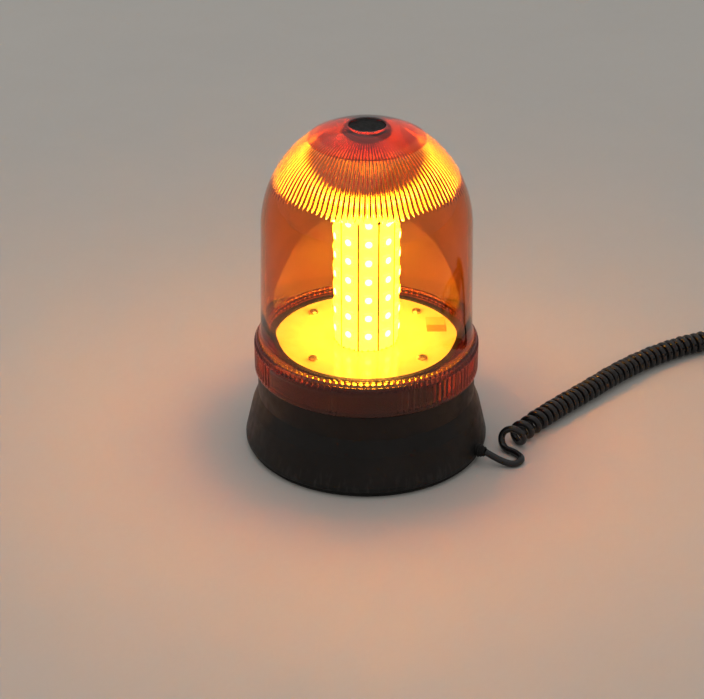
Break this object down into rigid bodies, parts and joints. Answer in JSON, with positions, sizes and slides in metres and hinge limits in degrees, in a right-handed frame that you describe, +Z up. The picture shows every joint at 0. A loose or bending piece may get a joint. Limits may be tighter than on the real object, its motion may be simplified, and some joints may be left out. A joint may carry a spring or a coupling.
{
  "type": "magnetic warning beacon",
  "caption": "Amber domed LED warning beacon on a black magnetic base, with a curly supply lead and a lighter-socket plug.",
  "frame": {"origin": "on the floor under the beacon's vertical axis, at the face of the magnetic foot", "axes": "+Z up along the beacon's axis, -Y is the front, +X is the side where the supply lead leaves"},
  "size_m": [0.3705, 0.1877, 0.1944],
  "materials": {
    "black_abs": "fine moulded texture, black ABS",
    "black_rubber": "matt black rubber",
    "zinc_steel": "zinc plated",
    "plated_cup": "nickel plated steel cup",
    "ferrite": "sintered ferrite, matt grey-black",
    "white_board": "glossy white solder mask",
    "strip_board": "glossy white solder mask",
    "led_amber": "lit amber light-emitting diodes",
    "label_paper": "blank pale label",
    "green_board": "green solder mask",
    "nylon": "natural nylon",
    "capacitor_sleeve": "dark shrink sleeve",
    "copper_wire": "enamelled copper winding",
    "chip_black": "epoxy package",
    "wire_insulation": "soft wire insulation",
    "amber_lens": "transparent amber polycarbonate",
    "cord_jacket": "smooth black polyurethane jacket",
    "plug_plastic": "black moulded plastic",
    "button_red": "red moulded button",
    "fuse_glass": "glass tube fuse with metal caps",
    "nickel": "nickel plated spring brass"
  },
  "bodies": {
    "base": {"base_housing": "black_abs", "bottom_cover": "black_abs", "foot_ring": "black_rubber", "magnet_pad": "black_rubber", "cover_screws": "zinc_steel", "magnet_cup": "plated_cup", "magnet_ring": "ferrite", "magnet_bolt": "zinc_steel", "lens_gasket": "black_rubber", "reflector_board": "white_board", "board_screws": "zinc_steel", "blank_label": "label_paper", "centre_post": "zinc_steel", "column_top": "white_board", "driver_board": "green_board", "board_standoffs": "nylon", "filter_capacitors": "capacitor_sleeve", "choke_coil": "copper_wire", "driver_chips": "chip_black", "wire_connector": "nylon", "inner_wires": "wire_insulation", "cable_gland": "black_rubber", "cord_lead": "cord_jacket", "cord_curly": "cord_jacket", "cord_tail": "cord_jacket", "plug_shell_lower": "plug_plastic", "plug_shell_upper": "plug_plastic", "plug_screws": "zinc_steel", "plug_strain_relief": "black_rubber", "plug_board": "green_board", "contact_spring": "zinc_steel", "led_strip_01": "strip_board", "led_strip_02": "strip_board", "led_strip_03": "strip_board", "led_strip_04": "strip_board", "led_strip_05": "strip_board", "led_strip_06": "strip_board", "led_strip_07": "strip_board", "led_strip_08": "strip_board", "led_strip_09": "strip_board", "led_strip_10": "strip_board", "strip_leds_01": "led_amber", "strip_leds_02": "led_amber", "strip_leds_03": "led_amber", "strip_leds_04": "led_amber", "strip_leds_05": "led_amber", "strip_leds_06": "led_amber", "strip_leds_07": "led_amber", "strip_leds_08": "led_amber", "strip_leds_09": "led_amber", "strip_leds_10": "led_amber"},
    "lens": {"lens_dome": "amber_lens"},
    "lens_screw": {"lens_screw": "zinc_steel"},
    "top_plug": {"top_plug": "black_rubber"},
    "mode_button": {"mode_button": "button_red"},
    "supply_tip": {"centre_contact": "nickel", "fuse": "fuse_glass"},
    "nose_cap": {"nose_cap": "plug_plastic"},
    "side_contact_left": {"side_contact_left": "nickel"},
    "side_contact_right": {"side_contact_right": "nickel"}
  },
  "joints": [
    {"name": "lens_lift", "type": "slide", "parent": "base", "child": "lens", "axis": [0, 0, 1], "range_m": [0, 0.15]},
    {"name": "lens_screw_turn", "type": "hinge", "parent": "lens", "child": "lens_screw", "pos_m": [0, 0, 0.1845], "axis": [0, 0, 1], "continuous": true},
    {"name": "top_plug_pull", "type": "slide", "parent": "lens", "child": "top_plug", "axis": [0, 0, 1], "range_m": [0, 0.015]},
    {"name": "mode_button_press", "type": "slide", "parent": "base", "child": "mode_button", "axis": [0, 0, -1], "range_m": [0, 0.0007], "stiffness_N_per_m": 600},
    {"name": "supply_tip_press", "type": "slide", "parent": "base", "child": "supply_tip", "axis": [0, -1, 0], "range_m": [0, 0.003], "stiffness_N_per_m": 900, "deforming": ["contact_spring"]},
    {"name": "nose_cap_turn", "type": "hinge", "parent": "base", "child": "nose_cap", "pos_m": [0.246, 0.08, 0.012], "axis": [0, 1, 0], "continuous": true},
    {"name": "side_contact_left_press", "type": "slide", "parent": "base", "child": "side_contact_left", "axis": [1, 0, 0], "range_m": [0, 0.0012], "stiffness_N_per_m": 1200},
    {"name": "side_contact_right_press", "type": "slide", "parent": "base", "child": "side_contact_right", "axis": [-1, 0, 0], "range_m": [0, 0.0012], "stiffness_N_per_m": 1200}
  ]
}
